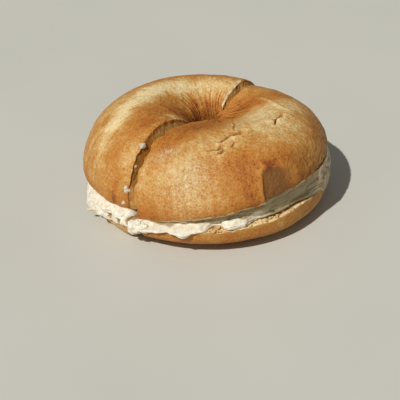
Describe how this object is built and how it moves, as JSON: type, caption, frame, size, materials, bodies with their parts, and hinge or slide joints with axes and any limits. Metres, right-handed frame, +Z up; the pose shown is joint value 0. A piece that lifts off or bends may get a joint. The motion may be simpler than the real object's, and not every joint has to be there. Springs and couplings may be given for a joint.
{
  "type": "cream cheese bagel",
  "caption": "Plain bagel filled with cream cheese, sliced level and cut down through its narrow hole into halves that lie together.",
  "frame": {"origin": "centre of the bounding box at the resting plane, in metres", "axes": "+Z is up. The camera of the picture looks along +Y and down, so -Y is the front and +X is its right. The knife cut runs about 52 degrees round from +X towards +Y."},
  "size_m": [0.1104, 0.1092, 0.0428],
  "materials": {
    "top_crust": "golden brown baked crust with a slight sheen",
    "bottom_crust": "golden brown baked crust",
    "cream_cheese": "soft white spread"
  },
  "bodies": {
    "root": {"bagel_bottom_front": "bottom_crust", "cream_cheese_front": "cream_cheese", "bagel_top_front": "top_crust", "bagel_bottom_back": "bottom_crust", "cream_cheese_back": "cream_cheese", "bagel_top_back": "top_crust"}
  },
  "joints": []
}
